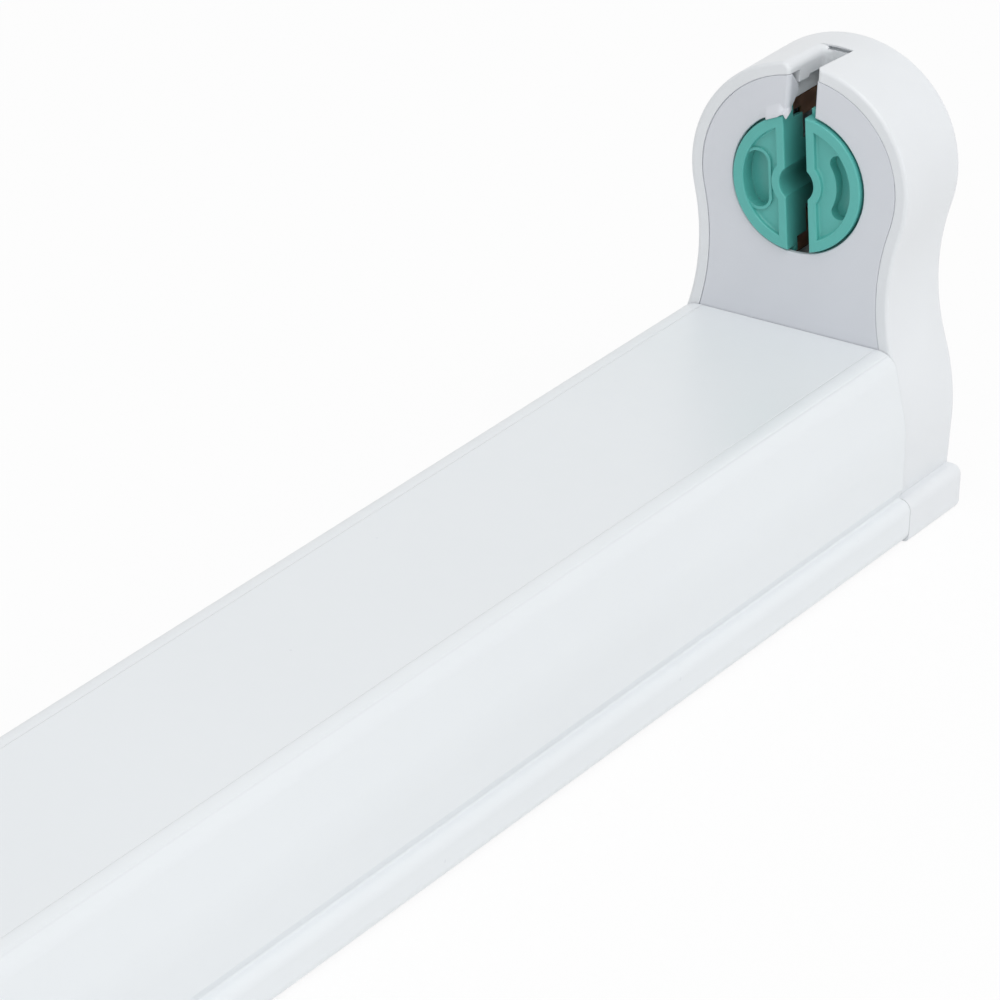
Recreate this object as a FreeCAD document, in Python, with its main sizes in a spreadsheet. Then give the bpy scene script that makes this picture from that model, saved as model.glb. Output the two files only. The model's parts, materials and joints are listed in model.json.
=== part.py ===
import FreeCAD, Part
import math
import os
import re

import Sketcher

# Tube light fixture: a folded steel channel with a moulded end cap and rotary lampholder at each
# end. X runs along the channel, Z points up from the mounting face, and the origin is the middle
# of that face. Millimetres and degrees.

# Driving dimensions
DIMENSIONS = {
    # Whole fixture
    "socket_gap": 591.0,
    "axis_height": 43.6,
    "rotor_drop": 0.45,
    # Folded steel cover
    "deck_height": 24.25,
    "flat_half_width": 12.6,
    "deck_bend_radius": 2.8,
    "side_slope": 14.0,
    "side_half_width": 17.25,
    "side_bend_radius": 16.0,
    "crease_height": 5.5,
    "crease_rise": 1.4,
    "crease_depth": 0.45,
    "crease_radius": 0.3,
    "flange_half_width": 18.5,
    "shoulder_radius": 1.4,
    "foot_radius": 1.5,
    "lip_width": 4.1,
    "sheet_thickness": 0.6,
    "end_clearance": 0.1,
    # Steel base plate
    "base_thickness": 0.8,
    "tray_half_width": 12.2,
    "tray_step_angle": 45.0,
    "wing_clearance": 0.1,
    "base_clearance": 0.2,
    "fixing_spacing": 400.0,
    "fixing_slot_width": 4.5,
    "fixing_slot_length": 9.0,
    "cable_hole_radius": 7.0,
    "cable_entry_place": 110.0,
    # Moulded end cap
    "cap_depth": 14.9,
    "head_radius": 14.95,
    "waist_half": 13.29,
    "waist_drop": 12.0,
    "bulge_half": 16.66,
    "bulge_drop": 31.5,
    "foot_half": 16.45,
    "cap_rear_radius": 1.5,
    "cap_front_radius": 0.5,
    "cap_foot_radius": 0.6,
    "rim_width": 1.6,
    "ledge_width": 1.6,
    "ledge_depth": 2.2,
    "cap_wall": 2.8,
    "back_wall": 1.8,
    "floor_thickness": 1.8,
    # Slot over the top of the cap, where the tube pins drop in
    "dome_slot_depth": 8.4,
    "dome_mouth_left": 2.1,
    "dome_taper_angle": 4.5,
    "dome_corner_radius": 1.5,
    "dome_corner_angle": 20.0,
    "dome_mouth_right": 1.65,
    "dome_end_right": 2.15,
    "dome_lip_radius": 1.1,
    "end_groove_height": 0.45,
    "end_groove_depth": 0.8,
    "end_groove_half": 1.2,
    "end_groove_skin": 0.25,
    # Walls beside that slot, under the dome
    "guide_gap": 0.5,
    "guide_thickness": 1.2,
    "guide_length": 6.4,
    "guide_lift": 0.2,
    # Tongues of the cap that locate it in the channel
    "tongue_reach": 12.0,
    "tongue_wall": 1.5,
    "tongue_gap": 0.25,
    "tongue_lift": 0.2,
    "floor_tongue_reach": 13.0,
    "floor_tongue_half": 9.0,
    "floor_tongue_thickness": 1.8,
    "screw_post_radius": 3.5,
    "screw_post_height": 6.8,
    "screw_inset": 8.0,
    # Ribs inside the cap that hold the contact strips
    "rib_half": 1.9,
    "rib_start": 2.9,
    "rib_top_drop": 11.4,
    "post_thickness": 1.6,
    "post_top_drop": 17.0,
    "post_lift": 5.25,
    "bearing_length": 2.9,
    "bearing_wall": 1.9,
    # Inner face plate
    "plate_thickness": 2.5,
    "plate_skin": 0.6,
    "collar_set_back": 0.9,
    "plate_tuck": 4.2,
    "seam_gap": 0.06,
    "rotor_hole_radius": 9.05,
    "entry_left_half": 2.0,
    "entry_right_half": 1.7,
    "entry_left_radius": 0.75,
    "entry_right_radius": 0.3,
    "entry_lip_angle": 20.0,
    "plate_edge_radius": 0.12,
    # Rotor
    "disc_radius": 8.75,
    "disc_proud": 0.5,
    "axial_gap": 0.3,
    "rotor_collar_radius": 9.5,
    "drum_radius": 7.8,
    "drum_back": 4.6,
    "hub_radius": 4.5,
    "journal_radius": 4.0,
    "running_gap": 0.05,
    "journal_end_gap": 0.3,
    "rotor_slot_width": 3.0,
    "rotor_slot_depth": 8.3,
    "centre_hole_radius": 2.35,
    "centre_hole_depth": 11.0,
    "recess_inner": 2.65,
    "recess_outer": 7.35,
    "boss_radius": 3.45,
    "recess_depth": 0.7,
    "recess_corner_radius": 0.3,
    "pocket_depth": 2.3,
    "kidney_inner": 4.0,
    "kidney_half_height": 3.6,
    "kidney_corner_radius": 1.4,
    "ridge_width": 0.4,
    "ridge_height": 0.3,
    "banana_inner": 5.25,
    "banana_half_angle": 29.0,
    "rotor_edge_radius": 0.18,
    "right_rotor_tilt": -6.0,
    "left_rotor_tilt": 0.0,
    # Bronze contact strips
    "strip_thickness": 0.4,
    "strip_width": 4.0,
    "strip_start": 4.9,
    "leaf_radius": 7.45,
    "leaf_half_angle": 68.0,
    "lead_height": 9.5,
    "flare_width": 2.0,
    "strip_gap": 0.05,
    "tail_end_share": 0.6,
    "barrel_radius": 1.35,
    "barrel_length": 5.4,
    # Wires
    "wire_radius": 1.0,
    "wire_height": 9.0,
    "bend_share": 0.45,
    "wire_lead": 23.0,
    "wire_sidestep": 30.0,
    "earth_lead": 16.0,
    "earth_drop": 10.0,
    # Terminal block
    "block_place": 140.0,
    "block_length": 16.0,
    "block_width": 23.2,
    "block_height": 13.0,
    "pole_pitch": 8.0,
    "clamp_width": 4.2,
    "clamp_height": 6.0,
    "clamp_length": 13.0,
    "clamp_gap": 0.1,
    "clamp_screw_lift": 0.3,
    "clamp_screw_spacing": 7.0,
    "clamp_screw_head_radius": 1.6,
    "clamp_screw_head_height": 1.2,
    "screw_access_gap": 0.2,
    "driver_slot_width": 0.6,
    "driver_slot_depth": 0.6,
    # Screws
    "screw_radius": 1.3,
    "cap_screw_head_radius": 2.5,
    "cap_screw_length": 7.0,
    "head_sink": 0.1,
    "block_screw_head_radius": 2.1,
    "block_screw_head_height": 1.4,
    # Earth connection
    "stud_place": 182.0,
    "stud_radius": 2.0,
    "stud_height": 8.0,
    "collar_radius": 3.5,
    "collar_height": 1.0,
    "tag_thickness": 0.8,
    "tag_half_width": 3.6,
    "tag_reach": 5.0,
    "nut_sides": 6,
    "nut_half_width": 3.5,
    "nut_height": 3.2,
    # Cable bush and wire saddle
    "bush_flange_radius": 8.5,
    "bush_flange_height": 1.4,
    "bush_bore_radius": 4.5,
    "bush_gap": 0.1,
    "saddle_place": 235.0,
    "saddle_length": 8.0,
    "saddle_half_width": 6.5,
    "saddle_height": 11.5,
    # Gap of a screw in its hole and a wire in its barrel
    "fit_gap": 0.05,
    "bevel_share": 0.75,
    # Extra length of every cutting shape past the face that it cuts
    "overrun": 1.0,
}

# Sizes worked out from the driving dimensions
DERIVED = {
    "half_gap": "socket_gap / 2",
    "rotor_height": "axis_height - rotor_drop",
    # Outer corners of the folded section, before they are rounded
    "deck_corner": "flat_half_width + deck_bend_radius * tan((90 - side_slope) / 2)",
    "side_bend": "deck_height - (side_half_width - deck_corner) / tan(side_slope)",
    "crease_lean": "crease_depth / crease_rise",
    "crease_half": "side_half_width - crease_depth",
    # The same corners on the inside of the sheet
    "deck_corner_in": "deck_corner - sheet_thickness * tan((90 - side_slope) / 2)",
    "side_bend_in": "side_bend - sheet_thickness * tan(side_slope / 2)",
    "crease_slant": "sheet_thickness * sqrt(1 + crease_lean^2)",
    "crease_half_in": "crease_half - sheet_thickness * crease_lean - crease_slant",
    "crease_top": "crease_height + crease_rise",
    "crease_top_in": "crease_top + (crease_slant - sheet_thickness) / crease_lean",
    # Side of the end cap: head circle, hollow waist and bulge, each tangent to the next
    "waist_radius": "(waist_half^2 + waist_drop^2 - head_radius^2) / (2 * (head_radius - waist_half))",
    "waist_centre": "waist_half + waist_radius",
    "head_across_share": "waist_centre / (head_radius + waist_radius)",
    "head_down_share": "waist_drop / (head_radius + waist_radius)",
    "bulge_gap": "waist_centre - bulge_half",
    "bulge_fall": "bulge_drop - waist_drop",
    "bulge_radius": "(bulge_gap^2 + bulge_fall^2 - waist_radius^2) / (2 * (waist_radius - bulge_gap))",
    "bulge_across_share": "(bulge_gap + bulge_radius) / (waist_radius + bulge_radius)",
    "bulge_up_share": "bulge_fall / (waist_radius + bulge_radius)",
    "bulge_level": "axis_height - bulge_drop",
    "cavity_depth": "cap_depth - back_wall",
    "cavity_inset": "cap_wall",
    "dome_corner_along": "dome_slot_depth - dome_corner_radius * cos(dome_corner_angle)",
    "dome_corner_across": "dome_mouth_left - dome_corner_along * tan(dome_taper_angle)"
                          " - dome_corner_radius / cos(dome_taper_angle)",
    "throat_inset": "rim_width + ledge_width",
    "throat_depth": "plate_thickness + ledge_depth",
    "guide_bottom": "rotor_height + lead_height + guide_lift",
    "plate_inset": "rim_width + seam_gap",
    "entry_left_lip": "entry_left_half + entry_left_radius",
    "entry_left_depth": "entry_left_radius * cos(entry_lip_angle)",
    "entry_right_lip": "entry_right_half + entry_right_radius",
    "entry_right_depth": "entry_right_radius * cos(entry_lip_angle)",
    "post_inner": "rib_half + 2 * strip_gap + strip_thickness",
    "post_bottom": "wire_height + barrel_radius + post_lift",
    # Screws, each in a hole a fit gap larger; the countersinks follow the head's 45 degree cone
    "pilot_radius": "screw_radius + fit_gap",
    "wire_bore_radius": "wire_radius + fit_gap",
    "plate_bevel": "base_thickness * bevel_share",
    "cap_screw_hole_radius": "cap_screw_head_radius + head_sink + fit_gap - plate_bevel",
    "post_bevel": "cap_screw_head_radius + head_sink - base_thickness - screw_radius",
    "tray_lean": "base_thickness * tan(tray_step_angle / 2)",
    "tray_step_run": "sheet_thickness / tan(tray_step_angle)",
    "plate_bottom": "deck_height - plate_tuck",
    # Arch of the end cap that fits inside the folded cover
    "tongue_half": "crease_half_in - tongue_gap",
    "arch_top_half": "flat_half_width - tongue_gap",
    "arch_top": "deck_height - sheet_thickness - tongue_gap",
    "arch_corner_bend": "(deck_bend_radius - sheet_thickness) * cos(side_slope)",
    "arch_corner": "flat_half_width + arch_corner_bend - 2 * tongue_gap",
    # Rotor stack along its axis
    "collar_front": "plate_skin + collar_set_back",
    "collar_back": "plate_thickness - axial_gap",
    "hub_back": "cavity_depth - bearing_length - axial_gap",
    "journal_end": "cavity_depth - journal_end_gap",
    "recess_top": "sqrt(recess_outer^2 - recess_inner^2)",
    "recess_notch": "sqrt(boss_radius^2 - recess_inner^2)",
    # Contact strip: leaf, fold and tail
    "tail_middle": "rib_half + strip_gap + strip_thickness / 2",
    "fold_radius": "(leaf_radius * cos(leaf_half_angle) - tail_middle) / (1 - cos(leaf_half_angle))",
    "fold_across": "(leaf_radius + fold_radius) * cos(leaf_half_angle)",
    "fold_level": "rotor_height - (leaf_radius + fold_radius) * sin(leaf_half_angle)",
    "barrel_across": "rib_half + strip_gap + barrel_radius",
    "tail_end": "wire_height + barrel_radius * tail_end_share",
    "barrel_start": "strip_start + (strip_width - barrel_length) / 2",
    # Terminal block and earth tag
    "clamp_screw_seat": "wire_height + clamp_height / 2 + clamp_screw_lift",
    "tag_bottom": "base_thickness + collar_height",
    "earth_wire_level": "tag_bottom + barrel_radius",
    "barrel_end": "stud_place - tag_reach",
    "tag_start": "barrel_end - tag_thickness",
}

doc = FreeCAD.newDocument("tube_light_fixture")
sheet = doc.addObject("Spreadsheet::Sheet", "Sizes")


def fill_sheet():
    """Writes one named row for each driving dimension and each derived size."""
    rows = list(DIMENSIONS.items())
    rows += [(name, "=" + formula) for name, formula in DERIVED.items()]
    for row, (name, content) in enumerate(rows, start=1):
        sheet.set("A%d" % row, name)
        sheet.set("B%d" % row, str(content))
        sheet.setAlias("B%d" % row, name)
    doc.recompute()


def linked(formula):
    """The formula with each name pointing into the sheet; names of functions stay bare."""
    return re.sub(r"\b([a-z]\w*)\b(?!\s*\()", r"Sizes.\1", formula)


def value(formula):
    """The number that a formula of sheet names stands for."""
    return float(sheet.evalExpression(formula))


def bind(thing, sizes):
    """Ties properties of an object to formulas of sheet names."""
    for name, formula in sizes.items():
        thing.setExpression(name, linked(formula))


def negative(formula):
    return "0" if formula == "0" else "-(%s)" % formula


def mirrored(formula, side):
    """The formula on the +Y side, or its mirror image on the -Y side."""
    return formula if side > 0 else negative(formula)


def pin(sketch, geometry, end, kind, formula):
    """Fixes one coordinate of a point, DistanceX across or DistanceY up."""
    if formula == "0":
        axis = -2 if kind == "DistanceX" else -1
        sketch.addConstraint(Sketcher.Constraint("PointOnObject", geometry, end, axis))
        return
    rule = Sketcher.Constraint(kind, -1, 1, geometry, end, value(formula))
    index = sketch.addConstraint(rule)
    bind(sketch, {"Constraints[%d]" % index: formula})


def pin_point(sketch, geometry, end, across, up):
    pin(sketch, geometry, end, "DistanceX", across)
    pin(sketch, geometry, end, "DistanceY", up)


def fix_radius(sketch, geometry, radius):
    index = sketch.addConstraint(Sketcher.Constraint("Radius", geometry, value(radius)))
    bind(sketch, {"Constraints[%d]" % index: radius})


def arc_between(start, end, radius, turn):
    """An arc of up to half a circle; turn is +1 where the path bends left and -1 right."""
    half = (end - start) * 0.5
    reach = math.sqrt(max(radius ** 2 - half.Length ** 2, 0.0))
    left = FreeCAD.Vector(-half.y, half.x, 0).normalize()
    centre = start + half + left * (reach * turn)
    first, last = (start, end) if turn > 0 else (end, start)
    angles = [math.atan2(point.y - centre.y, point.x - centre.x) for point in (first, last)]
    circle = Part.Circle(centre, FreeCAD.Vector(0, 0, 1), radius)
    return Part.ArcOfCircle(circle, angles[0], angles[1])


def outline(sketch, corners):
    """Adds one closed outline. A corner is (across, up), and (across, up, radius, turn) where
    the side that leaves it is an arc. The arc of half a circle also gives its centre across."""
    places = [FreeCAD.Vector(value(corner[0]), value(corner[1]), 0) for corner in corners]
    ends = []
    for index, corner in enumerate(corners):
        start = places[index]
        end = places[(index + 1) % len(corners)]
        if len(corner) == 2:
            ends.append((sketch.addGeometry(Part.LineSegment(start, end), False), 1, 2))
            continue
        arc = arc_between(start, end, value(corner[2]), corner[3])
        first, last = (1, 2) if corner[3] > 0 else (2, 1)
        ends.append((sketch.addGeometry(arc, False), first, last))
    for index, corner in enumerate(corners):
        geometry, first, last = ends[index]
        follower, follower_first, _ = ends[(index + 1) % len(corners)]
        rule = Sketcher.Constraint("Coincident", geometry, last, follower, follower_first)
        sketch.addConstraint(rule)
        pin_point(sketch, geometry, first, corner[0], corner[1])
        if len(corner) > 4:
            pin(sketch, geometry, 3, "DistanceX", corner[4])
        elif len(corner) > 2:
            fix_radius(sketch, geometry, corner[2])


def circle(sketch, across, up, radius):
    place = FreeCAD.Vector(value(across), value(up), 0)
    round_line = Part.Circle(place, FreeCAD.Vector(0, 0, 1), value(radius))
    geometry = sketch.addGeometry(round_line, False)
    pin_point(sketch, geometry, 3, across, up)
    fix_radius(sketch, geometry, radius)


def rectangle(sketch, left, bottom, right, top):
    outline(sketch, [(left, bottom), (right, bottom), (right, top), (left, top)])


def slot(sketch, middle, up, length, width):
    """A round-ended slot along the first sketch axis."""
    reach = "(%s - %s) / 2" % (length, width)
    left = "%s - %s" % (middle, reach)
    right = "%s + %s" % (middle, reach)
    half = "%s / 2" % width
    below = negative(half) if up == "0" else "%s - %s" % (up, half)
    above = half if up == "0" else "%s + %s" % (up, half)
    outline(sketch, [(left, below), (right, below, half, 1, right), (right, above),
                     (left, above, half, 1, left)])


class Piece:
    """One body and the steps that shape it."""

    def __init__(self, name):
        self.body = doc.addObject("PartDesign::Body", name)
        self.body.Label = name

    def sketch(self, name, plane, lift="0"):
        """A sketch on one of the body's own planes, moved along that plane's normal."""
        flat = self.body.newObject("Sketcher::SketchObject", name)
        role = plane + "_Plane"
        support = [item for item in self.body.Origin.OriginFeatures if item.Role == role][0]
        flat.AttachmentSupport = [(support, "")]
        flat.MapMode = "FlatFace"
        if lift != "0":
            bind(flat, {"AttachmentOffset.Base.z": lift})
        return flat

    def step(self, kind, name, profile, sizes, **settings):
        feature = self.body.newObject("PartDesign::" + kind, name)
        feature.Profile = profile
        for setting, choice in settings.items():
            setattr(feature, setting, choice)
        bind(feature, sizes)
        profile.Visibility = False
        doc.recompute()
        return feature

    def pad(self, name, profile, length, **settings):
        return self.step("Pad", name, profile, {"Length": length}, **settings)

    def pocket(self, name, profile, length, **settings):
        """A cut that has to take something away."""
        before = self.body.Shape.Volume
        feature = self.step("Pocket", name, profile, {"Length": length}, **settings)
        if not self.body.Shape.Volume < before:
            raise ValueError("%s cuts nothing from %s" % (name, self.body.Label))
        return feature

    def edges(self, test):
        return ["Edge%d" % (index + 1) for index, edge in enumerate(self.body.Tip.Shape.Edges)
                if test(edge)]

    def ease(self, kind, name, test, size):
        """Rounds or bevels the edges that the test picks out."""
        picked = self.edges(test)
        if not picked:
            raise ValueError("%s finds no edge on %s" % (name, self.body.Label))
        base = self.body.Tip
        feature = self.body.newObject("PartDesign::" + kind, name)
        feature.Base = (base, picked)
        bind(feature, {"Radius" if kind == "Fillet" else "Size": size})
        doc.recompute()
        return feature


# Tests that pick edges by where they lie

def near(first, second):
    return abs(first - second) < value("sheet_thickness") / 100


def along_x(places):
    """Edges parallel to X through any of the places, each given as y and z formulas."""
    targets = [(value(across), value(up)) for across, up in places]

    def test(edge):
        box = edge.BoundBox
        flat = near(box.YLength, 0) and near(box.ZLength, 0) and not near(box.XLength, 0)
        return flat and any(near(box.YMin, y) and near(box.ZMin, z) for y, z in targets)
    return test


def in_plane_x(place, *limits):
    """Edges that lie in one plane square to X and pass the other tests."""
    level = value(place)

    def test(edge):
        box = edge.BoundBox
        return near(box.XMin, level) and near(box.XMax, level) and all(
            limit(box) for limit in limits)
    return test


def seat_at_end(thing, side):
    """Moves a piece made in the frame of one end to the right (+1) or left (-1) end."""
    if side < 0:
        thing.Placement.Rotation = FreeCAD.Rotation(FreeCAD.Vector(0, 0, 1), 180)
    bind(thing, {"Placement.Base.x": "half_gap" if side > 0 else "-half_gap"})


def sided(name, side):
    return "%s_%s" % (name, "right" if side > 0 else "left")


# Folded steel cover

def section_half():
    """Outer and inner corners of half of the folded section, from the deck to the lip."""
    outer = [("deck_corner", "deck_height"), ("side_half_width", "side_bend"),
             ("side_half_width", "crease_top"), ("crease_half", "crease_height"),
             ("flange_half_width", "crease_height"), ("flange_half_width", "0"),
             ("flange_half_width - lip_width", "0")]
    inner = [("flange_half_width - lip_width", "sheet_thickness"),
             ("flange_half_width - sheet_thickness", "sheet_thickness"),
             ("flange_half_width - sheet_thickness", "crease_height - sheet_thickness"),
             ("crease_half_in", "crease_height - sheet_thickness"),
             ("side_half_width - sheet_thickness", "crease_top_in"),
             ("side_half_width - sheet_thickness", "side_bend_in"),
             ("deck_corner_in", "deck_height - sheet_thickness")]
    return outer, inner


def both_sides(places):
    return places + [(negative(across), up) for across, up in places]


def make_channel_cover():
    cover = Piece("channel_cover")
    outer, inner = section_half()
    right = outer + inner
    left = [(negative(across), up) for across, up in reversed(right)]
    section = cover.sketch("cover_section", "YZ")
    outline(section, right + left)
    cover.pad("cover_length", section, "socket_gap - 2 * end_clearance", Midplane=True)
    bends = [
        ("deck_bends", [outer[0]], "deck_bend_radius"),
        ("deck_bends_inside", [inner[6]], "deck_bend_radius - sheet_thickness"),
        ("side_bends", [outer[1]], "side_bend_radius"),
        ("side_bends_inside", [inner[5]], "side_bend_radius - sheet_thickness"),
        ("shoulders", [outer[4]], "shoulder_radius"),
        ("shoulders_inside", [inner[2]], "shoulder_radius - sheet_thickness"),
        ("foot_bends", [outer[5]], "foot_radius"),
        ("foot_bends_inside", [inner[1]], "foot_radius - sheet_thickness"),
        ("creases", [outer[2], outer[3]], "crease_radius"),
        ("creases_inside", [inner[3], inner[4]], "crease_radius"),
    ]
    for name, corners, radius in bends:
        cover.ease("Fillet", name, along_x(both_sides(corners)), radius)


# Steel base plate, a shallow tray whose wings lie on the lips of the cover

def make_base_plate():
    plate = Piece("base_plate")
    wing_edge = "flange_half_width - foot_radius - wing_clearance"
    wing_top = "sheet_thickness + base_thickness"
    right = [("tray_half_width", "0"), ("tray_half_width + tray_step_run", "sheet_thickness"),
             (wing_edge, "sheet_thickness"), (wing_edge, wing_top),
             ("tray_half_width + tray_step_run - tray_lean", wing_top),
             ("tray_half_width - tray_lean", "base_thickness")]
    left = [(negative(across), up) for across, up in reversed(right)]
    section = plate.sketch("base_section", "YZ")
    outline(section, right + left)
    plate.pad("base_length", section, "socket_gap - 2 * base_clearance", Midplane=True)
    holes = plate.sketch("base_holes", "XY")
    for side in (1, -1):
        slot(holes, mirrored("fixing_spacing / 2", side), "0", "fixing_slot_length",
             "fixing_slot_width")
        circle(holes, mirrored("half_gap - screw_inset", side), "0", "cap_screw_hole_radius")
    circle(holes, "cable_entry_place", "0", "cable_hole_radius")
    circle(holes, "block_place", "pole_pitch / 2", "pilot_radius")
    plate.pocket("base_openings", holes, "2 * base_thickness + overrun", Midplane=True)
    hole_radius = value("cap_screw_hole_radius")

    def countersunk(edge):
        box = edge.BoundBox
        return near(box.ZMax, 0) and near(box.XLength, 2 * hole_radius)
    plate.ease("Chamfer", "cap_screw_countersinks", countersunk, "plate_bevel")


# End cap

def side_points(inset):
    """Where the outline's arcs meet, for an outline drawn in by inset."""
    head = "(head_radius - %s)" % inset
    bulge = "(bulge_radius - %s)" % inset
    head_end = ("%s * head_across_share" % head, "axis_height - %s * head_down_share" % head)
    bulge_end = ("bulge_half - bulge_radius + %s * bulge_across_share" % bulge,
                 "bulge_level + %s * bulge_up_share" % bulge)
    return head_end, bulge_end


def cap_profile(inset, start, low):
    """The cap's outline drawn in by inset, from the start corners by low up round the head."""
    head_end = side_points(inset)[0]
    head = "head_radius - %s" % inset
    waist = "waist_radius + %s" % inset
    bulge = "bulge_radius - %s" % inset
    rising = start + [low + (waist, -1), head_end + (head, 1)]
    top = [("0", "axis_height + head_radius - %s" % inset, head, 1)]
    falling = [(negative(head_end[0]), head_end[1], waist, -1)]
    if start and len(start[-1]) > 2:
        falling.append((negative(low[0]), low[1], bulge, 1))
    else:
        falling.append((negative(low[0]), low[1]))
    falling += [(negative(corner[0]), corner[1]) for corner in reversed(start)]
    return rising + top + falling


def full_profile(inset, bottom):
    """The outline from the given bottom level up, with foot, bulge, waist and head."""
    foot = "foot_half - %s" % inset
    bulge_side = ("bulge_half - %s" % inset, "bulge_level", "bulge_radius - %s" % inset, 1)
    return cap_profile(inset, [(foot, bottom), (foot, "crease_height"), bulge_side],
                       side_points(inset)[1])


def plate_profile(inset, bottom):
    """The outline of the face plate's seat, with straight sides below the waist."""
    low = side_points(inset)[1]
    if value(bottom) < value(low[1]):
        return cap_profile(inset, [(low[0], bottom)], low)
    rise = "(%s - axis_height + waist_drop)" % bottom
    across = "waist_centre - sqrt((waist_radius + %s)^2 - %s^2)" % (inset, rise)
    return cap_profile(inset, [], (across, bottom))


def make_end_cap(side):
    cap = Piece(sided("end_cap", side))
    body_outline = cap.sketch("cap_outline", "YZ")
    outline(body_outline, full_profile("0", "0"))
    cap.pad("cap_body", body_outline, "cap_depth")
    flange = cap.sketch("flange_outline", "YZ")
    flange_side = [("flange_half_width - cap_foot_radius", "0", "cap_foot_radius", 1),
                   ("flange_half_width", "cap_foot_radius"),
                   ("flange_half_width", "crease_height - shoulder_radius", "shoulder_radius", 1),
                   ("flange_half_width - shoulder_radius", "crease_height")]
    other_side = [("-(flange_half_width - shoulder_radius)", "crease_height",
                   "shoulder_radius", 1),
                  ("-flange_half_width", "crease_height - shoulder_radius"),
                  ("-flange_half_width", "cap_foot_radius", "cap_foot_radius", 1),
                  ("-(flange_half_width - cap_foot_radius)", "0")]
    outline(flange, flange_side + other_side)
    cap.pad("cap_flange", flange, "cap_depth")
    cut_dome_slot(cap)
    cap.ease("Fillet", "rear_edges",
             in_plane_x("cap_depth", lambda box: box.ZMax > value("overrun")), "cap_rear_radius")
    slot_floor = value(DOME_SLOT_FLOOR)
    cap.ease("Fillet", "front_edges",
             in_plane_x("0", lambda box: box.ZMin > value("bulge_level - overrun"),
                        lambda box: not near(box.ZMax, slot_floor)), "cap_front_radius")
    seat = cap.sketch("plate_seat_outline", "YZ")
    outline(seat, plate_profile("rim_width", "plate_bottom"))
    cap.pocket("plate_seat", seat, "plate_thickness", Reversed=True)
    throat = cap.sketch("throat_outline", "YZ")
    outline(throat, full_profile("throat_inset", "floor_thickness"))
    cap.pocket("throat", throat, "throat_depth", Reversed=True)
    cavity = cap.sketch("cavity_outline", "YZ", "throat_depth")
    outline(cavity, full_profile("cavity_inset", "floor_thickness"))
    cap.pocket("cavity", cavity, "cavity_depth - throat_depth", Reversed=True)
    add_pin_guides(cap)
    add_tongues(cap)
    add_inner_ribs(cap)
    seat_at_end(cap.body, side)


DOME_SLOT_FLOOR = "axis_height + rotor_hole_radius"


def cut_dome_slot(cap):
    """The slot over the head, cut down into the solid before the hollow opens it."""
    slot_outline = cap.sketch("dome_slot_outline", "XY", DOME_SLOT_FLOOR)
    outline(slot_outline, [("-overrun", "-dome_mouth_right"),
                           ("dome_slot_depth", "-dome_end_right"),
                           ("dome_slot_depth",
                            "dome_corner_across + dome_corner_radius * sin(dome_corner_angle)",
                            "dome_corner_radius", 1),
                           ("dome_corner_along + dome_corner_radius * sin(dome_taper_angle)",
                            "dome_corner_across + dome_corner_radius * cos(dome_taper_angle)"),
                           ("-overrun", "dome_mouth_left + overrun * tan(dome_taper_angle)")])
    cap.pocket("dome_slot", slot_outline, "head_radius", Reversed=True)
    near_top = value("axis_height + head_radius - overrun")
    half_length = value("dome_slot_depth / 2")

    def lip(edge):
        box = edge.BoundBox
        return box.ZMin > near_top and box.XLength > half_length and box.YMin > 0
    cap.ease("Fillet", "dome_lip", lip, "dome_lip_radius")
    groove_top = "axis_height + head_radius - end_groove_skin"
    groove = cap.sketch("end_groove_outline", "XY", groove_top + " - end_groove_height")
    rectangle(groove, "dome_corner_along", "-dome_end_right", "dome_slot_depth + end_groove_depth",
              "end_groove_half")
    cap.pocket("end_groove", groove, "end_groove_height", Reversed=True)


def add_pin_guides(cap):
    """Two walls under the dome, one beside each edge of its slot."""
    guides = cap.sketch("guide_outline", "YZ", "plate_thickness + axial_gap")
    near_side = "dome_mouth_left + guide_gap"
    for hand in (1, -1):
        sides = [mirrored(near_side, hand), mirrored(near_side + " + guide_thickness", hand)]
        rectangle(guides, sides[hand < 0], "guide_bottom", sides[hand > 0],
                  "axis_height + head_radius - rim_width")
    cap.pad("pin_guides", guides, "guide_length")


def add_tongues(cap):
    """An arch that fits inside the channel and a floor tongue with the post for the screw."""
    arch = cap.sketch("arch_outline", "YZ")
    low = "base_thickness + sheet_thickness + tongue_lift"
    outer = [("tongue_half", low), ("tongue_half", "side_bend"),
             ("arch_corner", "deck_height - deck_bend_radius"), ("arch_top_half", "arch_top")]
    inner = [("arch_top_half - tongue_wall", "arch_top - tongue_wall"),
             ("arch_corner - tongue_wall", "deck_height - deck_bend_radius - tongue_wall / 2"),
             ("tongue_half - tongue_wall", "side_bend"), ("tongue_half - tongue_wall", low)]
    left_outer = [(negative(across), up) for across, up in reversed(outer)]
    left_inner = [(negative(across), up) for across, up in reversed(inner)]
    outline(arch, outer + left_outer + left_inner + inner)
    cap.pad("arch", arch, "tongue_reach", Reversed=True)
    floor = cap.sketch("floor_tongue_outline", "YZ")
    rectangle(floor, "-floor_tongue_half", "base_thickness", "floor_tongue_half",
              "base_thickness + floor_tongue_thickness")
    cap.pad("floor_tongue", floor, "floor_tongue_reach", Reversed=True)
    post = cap.sketch("screw_post_outline", "XY", "base_thickness")
    circle(post, "-screw_inset", "0", "screw_post_radius")
    cap.pad("screw_post", post, "screw_post_height")
    pilot = cap.sketch("pilot_outline", "XY", "base_thickness")
    circle(pilot, "-screw_inset", "0", "pilot_radius")
    cap.pocket("pilot_hole", pilot, "screw_post_height", Reversed=True)
    pilot_width = 2 * value("pilot_radius")
    low_level = value("base_thickness")

    def pilot_mouth(edge):
        box = edge.BoundBox
        return near(box.ZMax, low_level) and near(box.XLength, pilot_width)
    cap.ease("Chamfer", "pilot_countersink", pilot_mouth, "post_bevel")


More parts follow.
